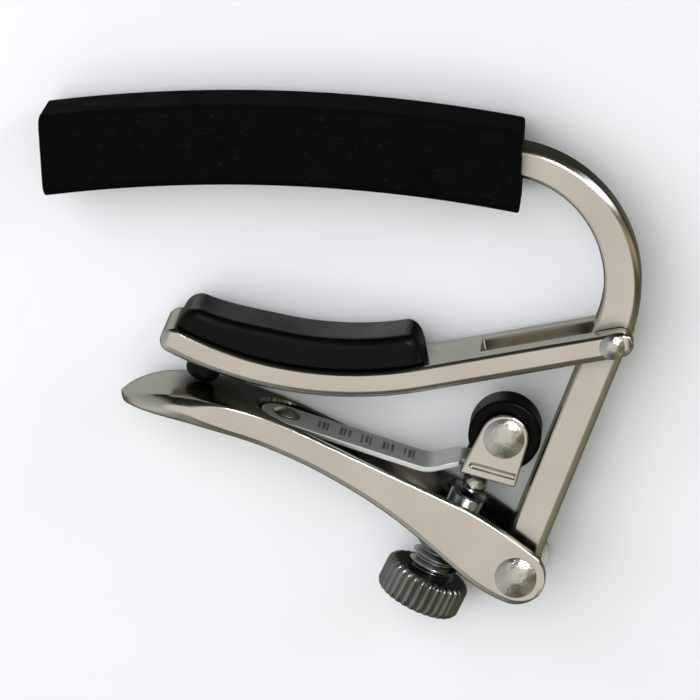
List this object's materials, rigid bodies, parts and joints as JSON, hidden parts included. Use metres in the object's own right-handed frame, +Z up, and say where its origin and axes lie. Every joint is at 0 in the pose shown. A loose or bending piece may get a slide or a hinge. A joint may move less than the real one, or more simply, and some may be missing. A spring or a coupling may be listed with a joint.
{
  "type": "guitar capo",
  "caption": "Over-centre lever capo: curved bar with a rubber sleeve, hinged padded neck arm, and a lever with a spring-mounted roller set by a thumb screw.",
  "frame": {"origin": "under the middle of the outline, on the surface the capo lies on", "axes": "+X from the open jaw towards the bend of the bar, +Y from the lever up to the string bar, +Z up, along the hinge pins"},
  "size_m": [0.075, 0.0672, 0.014],
  "materials": {
    "nickel_plate": "polished nickel plate with a warm tint",
    "rivet_nickel": "domed nickel-plated rivet heads, lightly brushed",
    "spring_steel": "dull satin spring steel",
    "screw_steel": "satin nickel on steel, fluted",
    "sleeve_rubber": "matte black rubber, faintly fibrous",
    "pad_rubber": "matte black rubber with a grey sheen",
    "roller_plastic": "black acetal, satin"
  },
  "bodies": {
    "frame": {"main_bar": "nickel_plate", "string_sleeve": "sleeve_rubber", "arm_rivet": "rivet_nickel", "lever_rivet": "rivet_nickel"},
    "neck_arm": {"neck_arm": "nickel_plate", "neck_pad": "pad_rubber", "bumper_plug": "pad_rubber"},
    "lever": {"lever": "nickel_plate", "lever_spacer_front": "rivet_nickel", "lever_spacer_back": "rivet_nickel", "strip_rivet": "rivet_nickel"},
    "roller_carrier": {"spring_strip": "spring_steel", "roller_yoke": "nickel_plate", "yoke_rivets": "rivet_nickel", "roller_axle": "rivet_nickel"},
    "roller": {"roller": "roller_plastic"},
    "screw_tip": {"screw_nub": "screw_steel"},
    "thumb_screw": {"screw_shank": "screw_steel", "thumb_knob": "screw_steel"}
  },
  "joints": [
    {"name": "arm_swing", "type": "hinge", "parent": "frame", "child": "neck_arm", "pos_m": [0.034, 0.00378, 0.007], "axis": [0, 0, -1], "range_deg": [0, 16]},
    {"name": "lever_swing", "type": "hinge", "parent": "frame", "child": "lever", "pos_m": [0.0223, -0.02642, 0.007], "axis": [0, 0, 1], "range_deg": [0, 105]},
    {"name": "roller_lift", "type": "hinge", "parent": "lever", "child": "roller_carrier", "pos_m": [-0.0072, -0.00764, 0.007], "axis": [0, 0, 1], "range_deg": [-2.1, 4.9]},
    {"name": "roller_spin", "type": "hinge", "parent": "roller_carrier", "child": "roller", "pos_m": [0.0206, -0.00892, 0.007], "axis": [0, 0, 1], "continuous": true},
    {"name": "screw_travel", "type": "slide", "parent": "lever", "child": "screw_tip", "axis": [0.4226, 0.9063, 0], "range_m": [-0.00095, 0.00222]},
    {"name": "screw_turn", "type": "hinge", "parent": "screw_tip", "child": "thumb_screw", "pos_m": [0.01026, -0.02954, 0.007], "axis": [0.4226, 0.9063, 0], "range_deg": [-270, 630]}
  ],
  "couplings": [
    {"joint": "screw_turn", "follows": "screw_travel", "rad_per_m": 4947.3},
    {"joint": "roller_lift", "follows": "screw_travel", "rad_per_m": 38.094}
  ]
}
